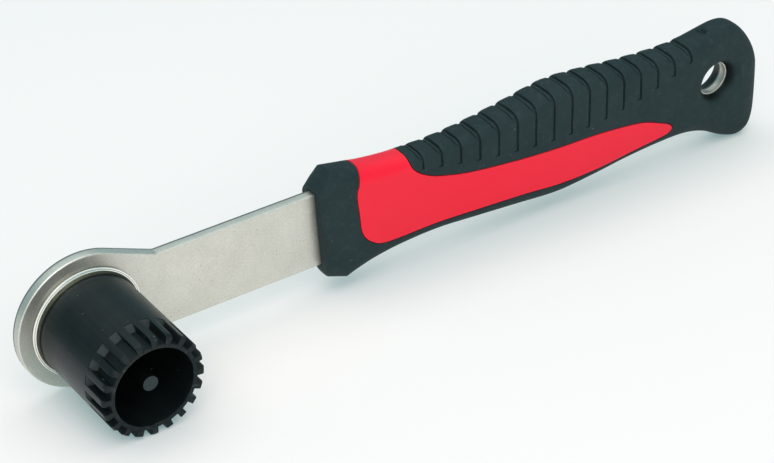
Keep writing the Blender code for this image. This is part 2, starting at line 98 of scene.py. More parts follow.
def add_piece(name, points, quads, caps, sharp=SHARP_EDGE):
    """A closed mesh from whole arrays: points (n, 3), quads (m, 4) and caps, each a ring of indices.

    The signed volume, the sum of each corner's place times the face's area vector, says which way the
    faces point; when it is negative every face is turned round.
    """
    points = np.asarray(points, float)
    origin = points.mean(axis=0)
    a, b, c, d = (points[quads[:, i]] - origin for i in range(4))
    volume = np.einsum("ij,ij->", a + b + c + d, np.cross(c - a, d - b))
    for cap in caps:
        ring = points[cap] - origin
        centre = ring.mean(axis=0)
        volume += 4 * np.einsum("ij,j->", np.cross(ring, np.roll(ring, -1, axis=0)), centre)
    if volume < 0:
        quads = quads[:, ::-1]
        caps = [cap[::-1] for cap in caps]
    mesh = bpy.data.meshes.new(name)
    mesh.from_pydata(lay(points).tolist(), [], quads.tolist() + [list(map(int, cap)) for cap in caps])
    mesh.validate()
    mesh.shade_smooth()
    mesh.set_sharp_from_angle(angle=sharp)
    return put(name, mesh)


def ring_quads(rows, columns, looped):
    """Index quads of a grid of closed rings; when looped, the last ring joins the first."""
    row, column = np.mgrid[:rows if looped else rows - 1, :columns]
    below, beside = (row + 1) % rows, (column + 1) % columns
    corners = [row * columns + column, row * columns + beside, below * columns + beside,
               below * columns + column]
    return np.stack(corners, axis=-1).reshape(-1, 4)


def ringed_piece(name, rings, looped=False, **options):
    """A solid from rings of equal count, an array (rings, points, 3); open ends get a flat cap."""
    rows, columns = rings.shape[:2]
    last = (rows - 1) * columns
    caps = () if looped else (np.arange(columns)[::-1], last + np.arange(columns))
    return add_piece(name, rings.reshape(-1, 3), ring_quads(rows, columns, looped), caps, **options)


def arc(centre, radius, start, end, count):
    """Points (x, z) on a circle from one angle to the other, both ends included."""
    angles = np.linspace(start, end, count)
    return np.column_stack([centre[0] + radius * np.cos(angles), centre[1] + radius * np.sin(angles)])


def fillet(before, corner, after, radius, count=9):
    """The arc that touches both sides of a corner: its centre is on the bisector."""
    before, corner, after = (np.array(p, float) for p in (before, corner, after))
    u = (before - corner) / np.linalg.norm(before - corner)
    v = (after - corner) / np.linalg.norm(after - corner)
    half = math.acos(np.clip(u @ v, -1, 1)) / 2
    centre = corner + (u + v) / np.linalg.norm(u + v) * radius / math.sin(half)
    chord = np.linspace(corner + u * radius / math.tan(half), corner + v * radius / math.tan(half),
                        count) - centre
    return centre + chord / np.linalg.norm(chord, axis=1)[:, None] * radius


def blank_side(side):
    """One long edge of the blank from the eye to the tang's end; side is 1 above and -1 below."""
    lean = math.pi / 2 - EYE_FLAT_ANGLE
    touch = (EYE_RADIUS * math.cos(lean), side * EYE_RADIUS * math.sin(lean))
    arm, tang = ARM_RISE + side * ARM_HALF_WIDTH, ARM_RISE + side * TANG_HALF_WIDTH
    neck = (touch[0] + abs(touch[1] - arm) / math.tan(EYE_FLAT_ANGLE), arm)
    drop = tang - HOLE_Z
    meet = (HOLE_X - math.sqrt(TANG_END_RADIUS**2 - drop**2), tang)
    shoulder, root = (ARM_END, arm), (ARM_END, tang)
    points = np.concatenate([fillet(touch, neck, shoulder, NECK_FILLET),
                             fillet(neck, shoulder, root, NECK_FILLET / 2),
                             fillet(shoulder, root, meet, NECK_FILLET / 2)])
    return points, lean, math.atan2(drop, meet[0] - HOLE_X)


def blank_outline():
    """The whole edge of the blank, clockwise from the eye's lower flat, as (x, z)."""
    above, lean, above_end = blank_side(1)
    below, _, below_end = blank_side(-1)
    eye = arc((0, 0), EYE_RADIUS, -lean, lean - math.tau, 160)
    end = arc((HOLE_X, HOLE_Z), TANG_END_RADIUS, above_end, below_end, 60)
    return np.concatenate([eye, above, end, below[::-1]])


def grown(outline, distance):
    """A closed outline moved along its normals, which are square to the line between neighbours."""
    along = np.roll(outline, -1, axis=0) - np.roll(outline, 1, axis=0)
    along /= np.linalg.norm(along, axis=1)[:, None]
    turn = np.sign(np.sum(outline[:, 0] * np.roll(outline[:, 1], -1)
                          - outline[:, 1] * np.roll(outline[:, 0], -1)))
    return outline + turn * distance * np.column_stack([along[:, 1], -along[:, 0]])


def edge_loops(thickness, radius, steps=5):
    """(inset, y) of the loops round a rounded edge, with a support loop just inside each face."""
    turn = np.linspace(0, math.pi / 2, steps)
    inset = np.concatenate([[radius * EDGE_SUPPORT], radius * (1 - np.sin(turn))])
    depth = np.concatenate([[0.0], radius * (1 - np.cos(turn))])
    return list(zip(inset, depth)) + list(zip(inset[::-1], thickness - depth[::-1]))


def slab(name, outline, y_front, y_back, radius=0.0):
    """A plate between two planes across y: the outline, inset round both edges."""
    loops = edge_loops(y_back - y_front, radius) if radius else [(0.0, 0.0), (0.0, y_back - y_front)]
    return ringed_piece(name, np.stack([np.insert(grown(outline, -inset), 1, y_front + depth, axis=1)
                                        for inset, depth in loops]))


def lathe_rings(profile, columns, centre=(0.0, 0.0), reach=math.inf):
    """Rings of a turned form: each profile point (radius, y) goes round the y axis through centre.

    reach, one number or one for each profile point, is a limit on |x|, which cuts two flats.
    """
    angle = np.linspace(0, math.tau, columns, endpoint=False)
    radius, y = np.array(profile).T[..., None] + 0 * angle
    radius = np.minimum(radius, np.reshape(reach, (-1, 1)) / np.maximum(np.abs(np.cos(angle)), 1e-6))
    return np.stack([centre[0] + radius * np.cos(angle), y, centre[1] + radius * np.sin(angle)], axis=-1)


def combine(piece, other, operation="DIFFERENCE"):
    """Cuts or joins a piece for good with another closed form, which is then thrown away."""
    modifier = piece.modifiers.new(operation, "BOOLEAN")
    modifier.operation = operation
    modifier.object = other
    graph = bpy.context.evaluated_depsgraph_get()
    graph.update()
    mesh = bpy.data.meshes.new_from_object(piece.evaluated_get(graph))
    piece.modifiers.clear()
    mesh.name = piece.name
    piece.data = mesh
    bpy.data.objects.remove(other)


def finish_edges(piece, sharp=SHARP_EDGE):
    """Smooth shading with the sharp edges found again after the cuts."""
    piece.data.shade_smooth()
    piece.data.set_sharp_from_angle(angle=sharp)


lever = slab("lever", blank_outline(), 0.0, PLATE_THICKNESS, PLATE_EDGE_ROUND)
hole_profile = [(STEEL_HOLE_RADIUS + more, y) for more, y in STEEL_HOLE_EDGE]
hole_profile += [(radius, PLATE_THICKNESS - y) for radius, y in hole_profile[::-1]]
combine(lever, ringed_piece("hole_cutter", lathe_rings(hole_profile, 96, (HOLE_X, HOLE_Z))))
spigot_cut = [(SPIGOT_HOLE, -CUTTER_SPARE), (SPIGOT_HOLE, PLATE_THICKNESS + CUTTER_SPARE)]
combine(lever, ringed_piece("spigot_cutter", lathe_rings(spigot_cut, 96, reach=SPIGOT_HOLE_FLAT)))
finish_edges(lever)


class Wire:
    """A shader socket that takes part in arithmetic; each operation adds its Math node."""

    def __init__(self, finish, socket):
        self.finish = finish
        self.socket = socket

    def math(self, operation, *values):
        return self.finish.node("ShaderNodeMath", {"operation": operation}, dict(enumerate(values)))

    def __add__(self, other):
        return self.math("ADD", self, other)

    def __mul__(self, other):
        return self.math("MULTIPLY", self, other)

    def __sub__(self, other):
        return self.math("SUBTRACT", self, other)

    def __rsub__(self, other):
        return self.math("SUBTRACT", other, self)

    __radd__ = __add__
    __rmul__ = __mul__


class Finish:
    """A material under construction, with one method that makes every kind of node."""

    def __init__(self, name, **shader):
        self.material = bpy.data.materials.new(name)
        self.material.use_nodes = True
        self.tree = self.material.node_tree
        self.shader = self.tree.nodes["Principled BSDF"]
        self.wear(**shader)

    def plug(self, node, sockets):
        """Links or sets a node's sockets; a colour gets its fourth number."""
        for key, value in sockets.items():
            socket = node.inputs[key]
            if isinstance(value, Wire):
                self.tree.links.new(value.socket, socket)
            else:
                socket.default_value = (*value, 1.0) if socket.type == "RGBA" else value

    def node(self, kind, settings=None, sockets=None, output=0):
        made = self.tree.nodes.new(kind)
        for key, value in (settings or {}).items():
            if key == "stops":
                set_stops(made.color_ramp, value)
            else:
                setattr(made, key, value)
        self.plug(made, sockets or {})
        return Wire(self, made.outputs[output])

    def place(self):
        """Where a point is, in Object coordinates."""
        return self.node("ShaderNodeTexCoord", output="Object")

    def vector(self, operation, first, second=(0.0, 0.0, 0.0), output=0):
        return self.node("ShaderNodeVectorMath", {"operation": operation}, {0: first, 1: second}, output)

    def across_tool(self):
        """How far behind the plate's front face a point is, in metres."""
        along = self.vector("DOT_PRODUCT", self.place(), TOOL_AXES[:, 1], 1)
        return along - float(TOOL_ORIGIN @ TOOL_AXES[:, 1])

    def off_axis(self, x, z):
        """How far a point is from the line along the socket's way through (x, z), in metres."""
        reach = self.vector("SUBTRACT", self.place(), lay((x, 0.0, z)))
        return self.vector("LENGTH", self.vector("CROSS_PRODUCT", reach, TOOL_AXES[:, 1]), output=1)

    def noise(self, scale, detail=3.0, roughness=0.5, where=None):
        """A cloudy pattern from 0 to 1 over Object coordinates, or over those given."""
        return self.node("ShaderNodeTexNoise", None, {
            "Vector": where or self.place(), "Scale": scale, "Detail": detail, "Roughness": roughness})

    def streaks(self, stretch, detail=3.0, roughness=0.5):
        """Noise on coordinates turned to the tool's axes and stretched, for grain that runs along it."""
        turn = Matrix(TOOL_AXES.T.tolist()).to_euler()
        turned = self.node("ShaderNodeMapping", None, {
            "Vector": self.place(), "Rotation": turn, "Scale": stretch})
        return self.noise(1.0, detail, roughness, turned)

    def ramp(self, value, *stops):
        """A grey ramp from (position, value) stops."""
        return self.node("ShaderNodeValToRGB", {"stops": stops}, {"Fac": value})

    def mask(self, value, low, high):
        """0 where the value is under low, 1 where it is over high, and even between them."""
        return self.ramp(value, (low, 0), (high, 1))

    def blend(self, amount, first, second):
        """Colour first where amount is 0, second where it is 1."""
        return self.node("ShaderNodeMix", {"data_type": "RGBA"}, {0: amount, 6: first, 7: second}, 2)

    def coat(self, tint, *layers):
        """Lays colours over a tint one after another, each given as amount and colour."""
        for amount, colour in layers:
            tint = self.blend(amount, tint, colour)
        return tint

    def bump(self, height, distance):
        """A normal tilted by a height's slope, for heights of 0 to 1 over the distance."""
        return self.node("ShaderNodeBump", None, {"Height": height, "Distance": distance})

    def wear(self, **shader):
        """Links or sets the shader's own sockets, base_color as Base Color, and gives the material."""
        self.plug(self.shader, {key.replace("_", " ").title().replace("Ior", "IOR"): value
                                for key, value in shader.items()})
        return self.material


def set_stops(ramp, stops):
    """Puts the stops of a grey ramp, whose first two exist already."""
    while len(ramp.elements) < len(stops):
        ramp.elements.new(0.5)
    for element, (position, grey) in zip(ramp.elements, stops):
        element.position = position
        element.color = (grey, grey, grey, 1.0)


def satin_nickel():
    """Tumbled nickel plate: fine grain, faint cloudy patches, dark specks.

    The sheared wall, found by its share of the thickness, is duller, with streaks across it. Near its
    back edge a dark, non-metallic line is painted shade, standing in for the dark reflection along that
    edge.
    """
    steel = Finish("satin_nickel", metallic=1.0)
    cloud = steel.noise(90, 4, 0.6)
    grain = steel.noise(2600, 3, 0.7)
    specks = steel.mask(steel.noise(1300, 2), 0.68, 0.78)
    depth = steel.across_tool() * (1 / PLATE_THICKNESS)
    wall = steel.ramp(depth, (0.06, 0), (0.12, 1), (0.94, 1), (0.99, 0))
    # Painted shade: a dark, non-metallic line near the wall's back edge stands in for its dark
    # reflection.
    back_edge_shade = steel.ramp(depth, (0.72, 0), (0.79, 1), (0.996, 1), (1.0, 0))
    shear = steel.streaks((1400, 160, 1400), 3.0, 0.6)
    tint = steel.blend(steel.mask(cloud, 0.35, 0.7), (0.710, 0.708, 0.640), (0.800, 0.798, 0.730))
    tint = steel.coat(tint, (steel.ramp(grain, (0.40, 0.30), (0.60, 0)), (0.36, 0.36, 0.31)),
                      (specks * 0.5, (0.20, 0.20, 0.17)),
                      (wall * (0.15 + shear * 0.5), (0.42, 0.44, 0.42)),
                      (back_edge_shade * 0.9, (0.028, 0.042, 0.045)))
    rough = 0.34 + cloud * 0.10 + grain * 0.08 + wall * 0.06
    drag = steel.streaks((260, 2400, 2400))
    return steel.wear(base_color=tint, roughness=rough, metallic=1 - back_edge_shade * 0.9,
                      normal=steel.bump(grain + drag * 0.5, 0.00003))


def dress(piece, material, slot, *nodes):
    """Gives a piece its material and its body, and hides the CAD nodes that it stands for; slot is not
    used.
    """
    piece.data.materials.clear()
    piece.data.materials.append(material)
    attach(piece, "root")
    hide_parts(*nodes)


dress(lever, satin_nickel(), "satin_nickel", "lever_plate")


# Seat ring
# A turned steel ring, polished and nickel-plated, between plate and socket: a ledge with a shallow
# coned face, a fine line turned into it, and a neck that narrows to the socket's width. The spigot
# passes through it, so its hole has the plate's two flats.
RING_RADIUS = 0.0173
RING_NECK_RADIUS, RING_NECK_TOP_RADIUS = 0.0164, 0.0159
RING_RIM_TOP, RING_LEDGE_TOP, RING_TOP = 0.0008, 0.0012, 0.0023
RING_ROUND, RING_SEAT = 0.0001, 0.00002
RING_LINE_SHARE, RING_LINE_HALF_WIDTH, RING_LINE_DEPTH = 0.45, 0.05, 0.00006
# The neck's waist, as how far it is inside the neck's radius and y, and the chamfer at the foot.
RING_WAIST = ((0.0002, -0.0018), (0.0001, -0.0014))
RING_CHAMFER_WIDTH, RING_CHAMFER_HEIGHT = 0.0002, 0.0003


def rounded(corner_radius, corner_y, radius, quarter, count=6):
    """A quarter circle of a profile that ends at the outer corner; quarter is its starting angle."""
    angle = np.linspace(quarter, quarter + math.pi / 2, count)
    return [(corner_radius + radius * math.cos(a), corner_y + radius * math.sin(a)) for a in angle]


def cone_point(share, depth=0.0):
    """A point of the coned face, from the neck at share 0 to the rim at share 1."""
    radius = RING_NECK_RADIUS + (RING_RADIUS - RING_NECK_RADIUS) * share
    return radius, depth - RING_LEDGE_TOP + (RING_LEDGE_TOP - RING_RIM_TOP) * share


line_in, line_out = RING_LINE_SHARE - RING_LINE_HALF_WIDTH, RING_LINE_SHARE + RING_LINE_HALF_WIDTH
ring_profile = [(SPIGOT_HOLE, -RING_TOP), (RING_NECK_TOP_RADIUS - RING_ROUND, -RING_TOP),
                (RING_NECK_TOP_RADIUS, RING_ROUND - RING_TOP)]
ring_profile += [(RING_NECK_RADIUS - inside, y) for inside, y in RING_WAIST]
ring_profile += [cone_point(0.02, -RING_ROUND), *map(cone_point, (0.10, 0.25, line_in)),
                 cone_point(RING_LINE_SHARE, RING_LINE_DEPTH), *map(cone_point, (line_out, 0.7, 0.93)),
                 (RING_RADIUS, RING_ROUND - RING_RIM_TOP), (RING_RADIUS, -RING_CHAMFER_HEIGHT),
                 (RING_RADIUS - RING_CHAMFER_WIDTH, -RING_SEAT), (SPIGOT_HOLE, -RING_SEAT)]
ring_reach = [SPIGOT_HOLE_FLAT] + [math.inf] * (len(ring_profile) - 2) + [SPIGOT_HOLE_FLAT]
seat = ringed_piece("seat", lathe_rings(ring_profile, 192, reach=ring_reach), looped=True,
                    sharp=math.radians(14))


def bright_nickel():
    """Polished nickel, finely marked, dark on the neck and under the rim, with a grey turned line.

    Two masks run over the height, as a share of the ring's, and the line's over radii of 16 to 18 mm.
    The neck's dark is painted shade and dark reflection from the socket, deepest next to the socket's
    foot, and the dark on the wall under the rim is a painted contact shadow.
    """
    steel = Finish("bright_nickel", metallic=1.0)
    marks = steel.noise(1500, 2)
    cloud = steel.noise(180, 2)
    pits = steel.mask(steel.noise(1700, 2), 0.56, 0.68)
    height = steel.across_tool() * (-1 / RING_TOP)
    ledge_top, rim_top = RING_LEDGE_TOP / RING_TOP, RING_RIM_TOP / RING_TOP
    # Painted shade on the neck, deepest next to the socket, and a painted contact shadow on the wall
    # under the rim.
    neck = steel.mask(height, ledge_top - 0.02, ledge_top + 0.02)
    rim = steel.ramp(height, (rim_top - 0.08, 1), (rim_top - 0.02, 0))
    tint = steel.blend(cloud, (0.90, 0.90, 0.84), (0.96, 0.96, 0.91))
    neck_shade = steel.blend(pits, (0.105, 0.108, 0.078), (0.035, 0.037, 0.028))
    neck_shade = steel.blend(steel.mask(height, 0.75, 0.97), neck_shade, (0.022, 0.024, 0.020))
    outwards = steel.off_axis(0.0, 0.0) * 500.0 - 8.0
    line = steel.ramp(outwards, (0.35, 0), (0.38, 1), (0.43, 1), (0.46, 0))
    tint = steel.coat(tint, (line * 0.8, (0.28, 0.28, 0.25)), (neck, neck_shade),
                      (rim * 0.8, (0.12, 0.12, 0.10)))
    return steel.wear(base_color=tint, roughness=0.20 + marks * 0.10 + neck * 0.20,
                      normal=steel.bump(marks, 0.00001))


dress(seat, bright_nickel(), "bright_nickel", "seat_ring")


# Splined socket
# A turned steel cup, slotted by a cutter that leaves twenty teeth round its mouth, then blackened in a
# hot oxide bath. Its spigot goes through ring and eye and is peened over behind them.
SOCKET_RADIUS = 0.0159
SOCKET_FOOT = RING_TOP + RING_SEAT
MOUTH_CHAMFER_DEPTH, MOUTH_CHAMFER_RISE = 0.0008, 0.0005
BORE_RADIUS, BORE_FLOOR = 0.0122, 0.0060
SLOT_COUNT, SLOT_PHASE = 20, math.radians(6.0)
SLOT_HALF_WIDTH, SLOT_ROOT, SLOT_LENGTH = 0.0014, 0.0134, 0.0088
SLOT_RUN_OUT, SLOT_BULGE = 0.0013, 0.00012
SLOT_CORNER_ROUND, TOOTH_EDGE_ROUND = 0.0003, 0.00016
# Where the middle of a quarter circle lies, from its ends, as shares of its radius.
ROUND_NEAR, ROUND_FAR = 0.29, 0.71
PIN_HOLE_RADIUS = 0.0027
HEAD_RADIUS, HEAD_HEIGHT, HEAD_ROUND = 0.0100, 0.0010, 0.0005
HEAD_BASE = PLATE_THICKNESS + CLEARANCE
# Small rounds as (sideways, along) from the corner: the foot's, the bore's mouth, the bore's floor.
FOOT_ROUND = ((0.0003, 0.0), (0.0001, 0.0001), (0.0, 0.0003))
BORE_ROUND = ((0.0004, 0.0), (0.0001, 0.0001), (0.0, 0.0004))
FLOOR_ROUND = ((0.0002, 0.0002), (0.0008, 0.0))
LIP_ROUND = 0.0001
# Where rings and points lie: shares of a slot's run-out, of the mouth's chamfer and of half a tooth,
# then the counts and the end room of the plain stretches of wall, teeth and bore.
RUN_OUT_SHARES = (0.0, 0.04, 0.3, 0.6, 0.85, 0.95, 1.0)
CHAMFER_SHARES = (0.06, 0.94, 1.0)
TIP_SHARES = np.array([0.0, 0.35, 0.7, 1.0])
SLOT_FLOOR_MIDDLE, ROUND_LIMIT = 0.0005, 0.4
WALL_ROWS, TOOTH_ROWS, BORE_ROWS = 24, 9, 12
WALL_ROOM, TOOTH_ROOM, BORE_ROOM = (0.0020, 0.0004), 0.0006, (0.0020, 0.0008)


def tooth_ring(root_radius, tip_radius):
    """(x, z) round one cross-section: twenty slots with parallel walls between rounded teeth.

    Half a slot is listed from its middle outwards, as (sideways, outwards) in the slot's own axes:
    floor, small corner, wall, small edge, then the tooth's tip along the outer circle. The other half
    mirrors it, and the whole is turned round for each slot. The counts stay the same where the slot
    runs out, so all rings join point by point.
    """
    depth = max(tip_radius - root_radius, 1e-6)
    corner = min(SLOT_CORNER_ROUND, depth * ROUND_LIMIT)
    edge = min(TOOTH_EDGE_ROUND, depth * ROUND_LIMIT)
    floor = [(s, math.sqrt(root_radius**2 - s * s))
             for s in (0.0, SLOT_FLOOR_MIDDLE, SLOT_HALF_WIDTH - corner)]
    wall_low = math.sqrt(root_radius**2 - SLOT_HALF_WIDTH**2) + corner
    wall_high = max(math.sqrt(tip_radius**2 - SLOT_HALF_WIDTH**2) - edge, wall_low)
    bend = (SLOT_HALF_WIDTH - corner * ROUND_NEAR, wall_low - corner * ROUND_FAR)
    wall = [bend, (SLOT_HALF_WIDTH, wall_low), (SLOT_HALF_WIDTH, (wall_low + wall_high) / 2),
            (SLOT_HALF_WIDTH, wall_high)]
    start = (SLOT_HALF_WIDTH + edge) / tip_radius
    shoulder = (SLOT_HALF_WIDTH + edge * ROUND_NEAR, wall_high + edge * ROUND_FAR)
    tip_angles = start + (math.pi / SLOT_COUNT - start) * TIP_SHARES
    tip = [(tip_radius * math.sin(a), tip_radius * math.cos(a)) for a in tip_angles]
    half = np.array(floor + wall + [shoulder] + tip)
    whole = np.concatenate([half[-2:0:-1] * (-1, 1), half])
    turn = SLOT_PHASE + np.arange(SLOT_COUNT) * math.tau / SLOT_COUNT
    out = np.column_stack([np.cos(turn), np.sin(turn)])
    side = np.column_stack([-np.sin(turn), np.cos(turn)])
    points = whole[None, :, :1] * side[:, None, :] + whole[None, :, 1:] * out[:, None, :]
    return points.reshape(-1, 2)


def socket_rings():
    """Rings of the socket, once round its section: head, spigot, foot, outer wall, teeth, bore, floor.

    Every ring has the points of the toothed section, pushed to a circle where there are no teeth.
    """
    base = tooth_ring(SLOT_ROOT, SOCKET_RADIUS)
    angle = np.arctan2(base[:, 1], base[:, 0])
    unit = np.column_stack([np.cos(angle), np.sin(angle)])

    def circle(radius, y, flat=math.inf):
        return np.minimum(radius, flat / np.maximum(np.abs(unit[:, :1]), 1e-6)) * unit, y

    def toothed(root, tip, y):
        return tooth_ring(root, tip), y

    head_top, head_flat = HEAD_BASE + HEAD_HEIGHT, HEAD_RADIUS - HEAD_ROUND
    slot_end, chamfer_start = SOCKET_LENGTH - SLOT_LENGTH, SOCKET_LENGTH - MOUTH_CHAMFER_DEPTH
    top_end = slot_end - SLOT_RUN_OUT
    rows = [circle(PIN_HOLE_RADIUS, head_top), circle(head_flat, head_top)]
    rows += [circle(*point) for point in rounded(head_flat, head_top - HEAD_ROUND, HEAD_ROUND, 0)[::-1]]
    rows += [circle(HEAD_RADIUS, HEAD_BASE), circle(SPIGOT_RADIUS, HEAD_BASE, SPIGOT_FLAT),
             circle(SPIGOT_RADIUS, -SOCKET_FOOT, SPIGOT_FLAT)]
    rows += [circle(SOCKET_RADIUS - inside, -SOCKET_FOOT - up) for inside, up in FOOT_ROUND]
    rows += [circle(SOCKET_RADIUS, -y)
             for y in np.linspace(SOCKET_FOOT + WALL_ROOM[0], top_end - WALL_ROOM[1], WALL_ROWS)]
    rows += [toothed(SOCKET_RADIUS + (SLOT_ROOT - SOCKET_RADIUS) * share, SOCKET_RADIUS,
                     SLOT_BULGE * math.sin(math.pi * share) - top_end - SLOT_RUN_OUT * share)
             for share in RUN_OUT_SHARES]
    rows += [toothed(SLOT_ROOT, SOCKET_RADIUS, -y)
             for y in np.linspace(slot_end + TOOTH_ROOM, chamfer_start, TOOTH_ROWS)]
    rows += [toothed(SLOT_ROOT, SOCKET_RADIUS - MOUTH_CHAMFER_RISE * share,
                     -chamfer_start - MOUTH_CHAMFER_DEPTH * share) for share in CHAMFER_SHARES]
    rows += [toothed(SLOT_ROOT - LIP_ROUND, SOCKET_RADIUS - MOUTH_CHAMFER_RISE - LIP_ROUND,
                     -SOCKET_LENGTH)]
    rows += [circle(BORE_RADIUS + outside, up - SOCKET_LENGTH) for outside, up in BORE_ROUND]
    rows += [circle(BORE_RADIUS, -y)
             for y in np.linspace(SOCKET_LENGTH - BORE_ROOM[0], BORE_FLOOR + BORE_ROOM[1], BORE_ROWS)]
    rows += [circle(BORE_RADIUS - inside, -BORE_FLOOR - down) for inside, down in FLOOR_ROUND]
    rows += [circle(PIN_HOLE_RADIUS, -BORE_FLOOR)]
    return np.stack([np.insert(points, 1, y, axis=1) for points, y in rows])


socket = ringed_piece("socket", socket_rings(), looped=True, sharp=math.radians(40))


def black_oxide():
    """Hot black oxide on turned steel: nearly black, satin, with a faint grey bloom and fine grain.

    The milled slots are duller, their ends greyer, the mouth is rubbed, and a few specks are bare.
    Places are in millimetres; each mask spreads a few of them over a ramp's 0 to 1.
    """
    steel = Finish("black_oxide", metallic=0.0)
    cloud = steel.noise(120, 4, 0.6)
    grain = steel.noise(3000, 2)
    turning = steel.streaks((300, 3800, 300), 2.0)
    tint = steel.blend(steel.mask(cloud, 0.3, 0.75), (0.0034, 0.0050, 0.0052), (0.0068, 0.0096, 0.0100))
    away = steel.off_axis(0.0, 0.0) * 1000.0
    depth = steel.across_tool() * -1000.0
    mouth, end_from = SOCKET_LENGTH * 1000.0, (SOCKET_LENGTH - SLOT_LENGTH) * 1000.0
    slots_from, inner_edge = end_from - SLOT_RUN_OUT * 1000.0, 12.4
    milled = steel.ramp((away - inner_edge) * 0.25, (0.02, 0), (0.05, 1), (0.80, 1), (0.86, 0))
    milled = milled * steel.mask((depth - slots_from) * 0.1, 0.0, 0.01)
    slot_end = milled * steel.ramp((depth - end_from) * 0.1 + 0.5, (0.49, 1), (0.53, 0))
    worn = steel.mask((depth - mouth) * 0.25 + 1.0, 0.80, 0.98)
    worn = worn * steel.mask(steel.noise(500, 3, 0.7), 0.55, 0.72)
    specks = steel.mask(steel.noise(750, 1), 0.765, 0.80)
    tint = steel.coat(tint, (milled, (0.0055, 0.0078, 0.0082)),
                      (slot_end * (0.4 + grain * 0.6), (0.060, 0.072, 0.073)),
                      (worn * 0.35, (0.10, 0.11, 0.11)), (specks * 0.8, (0.14, 0.15, 0.15)))
    rough = 0.28 + cloud * 0.06 + grain * 0.04 + milled * 0.14
    return steel.wear(base_color=tint, roughness=rough, specular_ior_level=0.24,
                      specular_tint=(0.72, 0.95, 1.0), normal=steel.bump(grain + turning * 0.6, 0.00002))


dress(socket, black_oxide(), "black_oxide", "splined_socket")


# Guide pin
# A plain steel pin pressed into the socket's floor, its flat end a little behind the mouth.
PIN_RADIUS = 0.0024
PIN_BEHIND_MOUTH = 0.0021
PIN_TIP = PIN_BEHIND_MOUTH - SOCKET_LENGTH
PIN_TAIL = HEAD_BASE + HEAD_HEIGHT
PIN_ROUND = 0.0003
PIN_FLAT = PIN_RADIUS - PIN_ROUND

pin_profile = [(PIN_FLAT - 0.0001, PIN_TIP)]
pin_profile += rounded(PIN_FLAT, PIN_TIP + PIN_ROUND, PIN_ROUND, -math.pi / 2)
pin_profile += rounded(PIN_FLAT, PIN_TAIL - PIN_ROUND, PIN_ROUND, 0) + [(PIN_FLAT - 0.0001, PIN_TAIL)]
pin = ringed_piece("pin", lathe_rings(pin_profile, 64))


def pin_steel():
    """Blackened steel with a bare, lightly mottled grey end."""
    steel = Finish("pin_steel", metallic=0.6)
    mottle = steel.noise(1400, 3)
    end = steel.ramp((steel.across_tool() - PIN_TIP) * 1000.0, (0.08, 1), (0.16, 0))
    bare = steel.blend(mottle, (0.020, 0.030, 0.032), (0.055, 0.075, 0.078))
    tint = steel.blend(end, (0.0025, 0.0035, 0.0038), bare)
    return steel.wear(base_color=tint, roughness=0.6 + mottle * 0.1 - end * 0.1, specular_ior_level=0.2,
                      normal=steel.bump(mottle, 0.00003))


dress(pin, pin_steel(), "grey_steel", "guide_pin")


# Handle core
# Hard red plastic moulded over the tang. It shows through a long window on both sides of the grip and
# over its back behind the collar; the rest of it is under the rubber.
# Each row of the form, in millimetres: station, top x, top z, bottom x, bottom z, half thickness.
HANDLE_ROWS = np.array([
    (76.0, 76.0, 15.2, 78.1, -13.8, 4.8),
    (78.8, 78.6, 17.7, 79.7, -16.5, 5.5),
    (81.5, 81.3, 20.1, 85.6, -18.6, 6.1),
    (88.0, 88.0, 18.8, 89.6, -17.2, 6.1),
    (95.0, 95.0, 17.5, 95.6, -15.8, 5.9),
    (105.0, 105.0, 16.5, 105.0, -14.7, 5.5),
    (119.0, 119.0, 16.3, 119.0, -14.3, 5.3),
    (133.0, 133.0, 17.0, 133.0, -15.2, 5.8),
    (149.0, 149.0, 19.0, 149.0, -16.4, 6.3),
    (164.0, 164.0, 21.1, 164.0, -17.5, 6.6),
    (178.0, 178.0, 20.4, 178.0, -16.6, 6.4),
    (192.0, 192.0, 18.9, 192.0, -15.1, 6.2),
    (207.0, 207.0, 18.0, 207.0, -14.3, 6.0),
    (217.0, 217.0, 18.4, 217.0, -14.8, 5.8),
    (225.5, 225.5, 19.9, 225.0, -17.1, 5.6),
    (231.0, 230.5, 20.5, 231.5, -20.6, 5.5),
    (236.0, 234.5, 19.8, 237.0, -22.7, 5.4),
    (241.0, 238.4, 16.8, 240.5, -22.5, 5.3),
    (246.0, 241.8, 12.0, 243.0, -20.3, 4.8),
    (251.0, 244.5, 5.8, 245.0, -14.2, 3.4),
    (254.0, 246.0, 0.5, 246.1, -7.8, 1.2),
]) / 1000
CHAMFER_ROWS = 2
HANDLE_MID_Y = PLATE_THICKNESS / 2
EDGE_ROUND_SHARE = 0.86
FACE_CROWN = 0.00025
# Over the lands the back is squarer than a half round and a little lower: stations between which this
# comes and goes, the power that shapes the corner, and how far the crest comes down.
SQUARE_STATIONS = (0.1030, 0.1150, 0.2120, 0.2260)
SQUARE_POWER, SQUARE_DROP = 0.68, 0.00064
# The window's edge as (x, z) in millimetres, down from the back, along its lower side and up again.
WINDOW_EDGE = np.array([
    (92.0, 19.6), (90.2, 17.2), (89.0, 14.0), (88.2, 10.8), (88.9, 4.0), (89.9, -2.8), (93.3, -7.2),
    (99.8, -9.6), (118.6, -10.0), (148.0, -11.1), (163.5, -12.3), (179.3, -12.4), (195.3, -11.0),
    (204.0, -10.2), (207.2, -9.5), (208.5, -8.1), (207.4, -6.4), (203.0, -4.3), (194.7, -1.4),
    (178.6, 0.6), (163.2, 1.3), (147.7, 2.2), (129.5, 4.1), (118.7, 6.5), (112.7, 9.1), (108.6, 12.7),
    (107.5, 17.0),
]) / 1000
WINDOW_REACH = 0.0300
RIB_TOPS, RIB_HALF_THICKNESS, RIB_GAP = (0.0164, 0.0150), 0.0012, 0.00002


